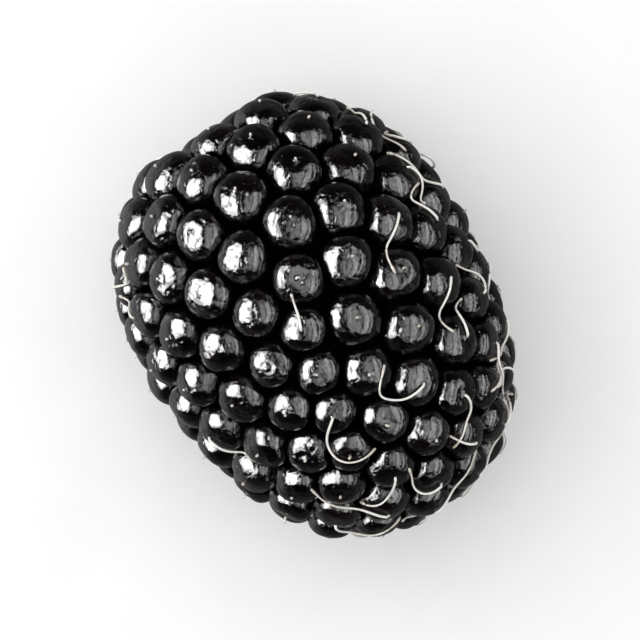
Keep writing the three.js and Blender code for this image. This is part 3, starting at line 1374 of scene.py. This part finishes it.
    def build(self, straw: bpy.types.Material) -> bpy.types.Object:
        """Make the piece: threads with a knob at the far end, stubs, and the attribute along.

        Args:
            straw: the piece's material.

        Returns:
            The piece.
        """
        kept, bare = self.pick()
        step = np.linspace(0.0, 1.0, self.steps)
        knob = np.exp(-(((step - self.knob_place) / self.knob_length) ** 2))
        thick = self.root_radius + (self.tip_radius - self.root_radius) * step
        thick = thick + (self.knob_radius - self.tip_radius) * knob
        threads = self.tubes(self.paths(kept), thick)
        stubs = self.tubes(self.stubs(bare), np.full(self.stub_steps, self.root_radius))
        along = np.concatenate([[0.0], np.repeat(step, self.sides), [1.0]])[None]
        shells = ShellMesh()
        shells.add(threads, self.sides, along=along)
        shells.add(stubs, self.sides, along=np.ones((1, 1)))
        piece = shells.build("dried_styles")
        piece.data.materials.append(straw)
        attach(piece, "root")
        return piece


class Lights(Enum):
    """What a light reaches."""

    GLOSS = "reflections"
    DIFFUSE = "matt surfaces"


@dataclass(frozen=True)
class Softbox:
    """A flat rectangular light: its place, the half angles it spans, its brightness and what it lights."""

    name: str
    place: tuple[float, float, float]  # right, up and towards the camera
    half_width: float  # degrees
    half_height: float  # degrees
    radiance: float
    lights: Lights


SOFTBOXES = (
    Softbox("window", (-0.78, 0.03, 0.62), 24.5, 33.0, 17.5, Lights.GLOSS),
    Softbox("near_panel", (0.2, -0.04, 0.98), 13.0, 36.0, 3.0, Lights.GLOSS),
    Softbox("far_panel", (0.66, -0.04, 0.75), 9.0, 42.0, 5.6, Lights.GLOSS),
    Softbox("strip", (0.92, -0.06, 0.38), 4.0, 36.0, 6.0, Lights.GLOSS),
    Softbox("floor_light", (-0.35, 0.25, 0.9), 30.0, 30.0, 0.7, Lights.DIFFUSE),
)


@dataclass
class Studio:
    """Plain pale floor, soft lights and a camera straight above, rolled as the photograph is."""

    lens: float = 180.0
    sensor: float = 36.0
    nearest: float = 0.01  # metres from the camera
    farthest: float = 20.0
    field_width: float = 40.0  # millimetres across the picture at the berry
    roll_degrees: float = 58.0  # how far the berry's tip points below the picture's right
    light_distance: float = 260.0
    even: Colour = (0.66, 0.66, 0.665, 1.0)  # the surroundings' light on matt surfaces
    horizon: Colour = (0.12, 0.12, 0.12, 1.0)  # and what the gloss shows of them, low down
    overhead: Colour = (0.01, 0.01, 0.01, 1.0)  # and higher up
    horizon_height: float = 0.25  # upward share of a direction from which it is overhead
    floor_radius: float = 3000.0
    floor_drop: float = 0.02
    floor_sides: int = 96

    def camera(self, target: Vector) -> None:
        """Make the camera, straight above the target.

        Its height is the width of the view times the lens over the sensor.

        Args:
            target: the point in the middle of the picture.
        """
        data = bpy.data.cameras.new("camera")
        data.lens = self.lens
        data.sensor_width = self.sensor
        data.clip_start = self.nearest
        data.clip_end = self.farthest
        camera = bpy.data.objects.new("camera", data)
        camera.location = target + Vector((0.0, 0.0, self.field_width * MM * self.lens / self.sensor))
        camera.rotation_euler = (0.0, 0.0, math.radians(self.roll_degrees))
        bpy.context.scene.collection.objects.link(camera)
        bpy.context.scene.camera = camera

    def from_picture(self, right: float, up: float, out: float) -> Vector:
        """Turn a direction in the picture into one in the world.

        Args:
            right: its share to the picture's right.
            up: its share to the picture's top.
            out: its share towards the camera.

        Returns:
            The unit vector.
        """
        roll = math.radians(self.roll_degrees)
        x_axis = Vector((math.cos(roll), math.sin(roll), 0.0))
        y_axis = Vector((-math.sin(roll), math.cos(roll), 0.0))
        return (x_axis * right + y_axis * up + Vector((0.0, 0.0, out))).normalized()

    def softbox(self, light: Softbox, target: Vector) -> None:
        """Make an area light that faces the target.

        Each side is the light distance times twice the tangent of half the angle it spans, and the
        power is the radiance times pi times the area.

        Args:
            light: what the light is like.
            target: the point it faces.
        """
        data = bpy.data.lights.new(light.name, "AREA")
        data.shape = "RECTANGLE"
        data.size = 2 * self.light_distance * MM * math.tan(math.radians(light.half_width))
        data.size_y = 2 * self.light_distance * MM * math.tan(math.radians(light.half_height))
        data.energy = light.radiance * math.pi * data.size * data.size_y
        lamp = bpy.data.objects.new(light.name, data)
        direction = self.from_picture(*light.place)
        lamp.location = target + direction * self.light_distance * MM
        across = self.from_picture(0.0, 1.0, 0.0).cross(direction).normalized()
        upright = direction.cross(across)
        lamp.rotation_euler = Matrix((across, upright, direction)).transposed().to_euler()
        lamp.visible_diffuse = light.lights is not Lights.GLOSS
        lamp.visible_glossy = light.lights is not Lights.DIFFUSE
        bpy.context.scene.collection.objects.link(lamp)

    def world(self) -> None:
        """Make the surroundings: even for matt surfaces, and in the gloss dim with a brighter horizon."""
        world = bpy.data.worlds.new("studio")
        bpy.context.scene.world = world
        world.use_nodes = True
        bench = NodeBench(world.node_tree)
        direction = bench.place("ShaderNodeTexCoord").outputs["Generated"]
        upward = bench.place("ShaderNodeSeparateXYZ", Vector=direction).outputs["Z"]
        share = bench.spread(upward, 0.0, self.horizon_height)
        mirrored = bench.mix_colours(share, self.horizon, self.overhead)
        colour = bench.mix_colours(bench.glossy_ray(), self.even, mirrored)
        background = bench.place("ShaderNodeBackground", Color=colour, Strength=1.0)
        bench.place("ShaderNodeOutputWorld", Surface=background.outputs["Background"])

    def floor(self, material: bpy.types.Material) -> None:
        """Make the floor, a wide round board just under the berry.

        Args:
            material: the board's material.
        """
        turn = 2 * math.pi * np.arange(self.floor_sides) / self.floor_sides
        edge = np.stack([np.cos(turn), np.sin(turn), np.zeros_like(turn)], axis=1) * self.floor_radius
        edge[:, 2] = -self.floor_drop
        mesh = bpy.data.meshes.new("studio_floor")
        mesh.from_pydata((edge * MM).tolist(), [], [list(range(self.floor_sides))])
        board = bpy.data.objects.new("studio_floor", mesh)
        board.data.materials.append(material)
        bpy.context.scene.collection.objects.link(board)

    def build(self, floor: bpy.types.Material) -> None:
        """Set up the whole studio round the berry, and the contrast of the picture.

        Args:
            floor: the floor's material.
        """
        low, high = cad_box
        target = (low + high) / 2
        self.floor(floor)
        self.world()
        for light in SOFTBOXES:
            self.softbox(light, target)
        self.camera(target)
        bpy.context.scene.view_settings.view_transform = "Standard"
        bpy.context.scene.view_settings.look = "Medium High Contrast"


def main() -> None:
    """Build the berry piece by piece, then the studio."""
    logging.basicConfig(level=logging.INFO, format="%(name)s: %(message)s")
    outline = Outline()
    layout = DrupeletLayout(outline)
    laying = Laying()
    grown = layout.grow()
    relief = SkinRelief().group()

    core = Core(outline, laying, grown)
    head = DrupeletHead(laying.lay(grown), core)
    rim = laying.place(np.array([-outline.half_length + layout.plug_face_depth, 0.0, 0.0]), grown)
    axis = np.array([-1.0, 0.0, 0.0]) @ laying.turn().T
    plug = Receptacle(rim, axis, radius=layout.plug_radius)
    styles = Styles(outline, grown, laying)
    pieces = (
        head.build(DrupeletSkin().make(relief), CoreFleshAndShade().make(relief)),
        plug.build(ReceptaclePith().make(relief)),
        styles.build(StyleStraw().make(relief)),
    )
    for piece in pieces:
        log.info("%s: %d triangles", piece.name, count_triangles(piece))

    Studio().build(StudioFloor().make(relief))


if __name__ == "__main__":
    main()
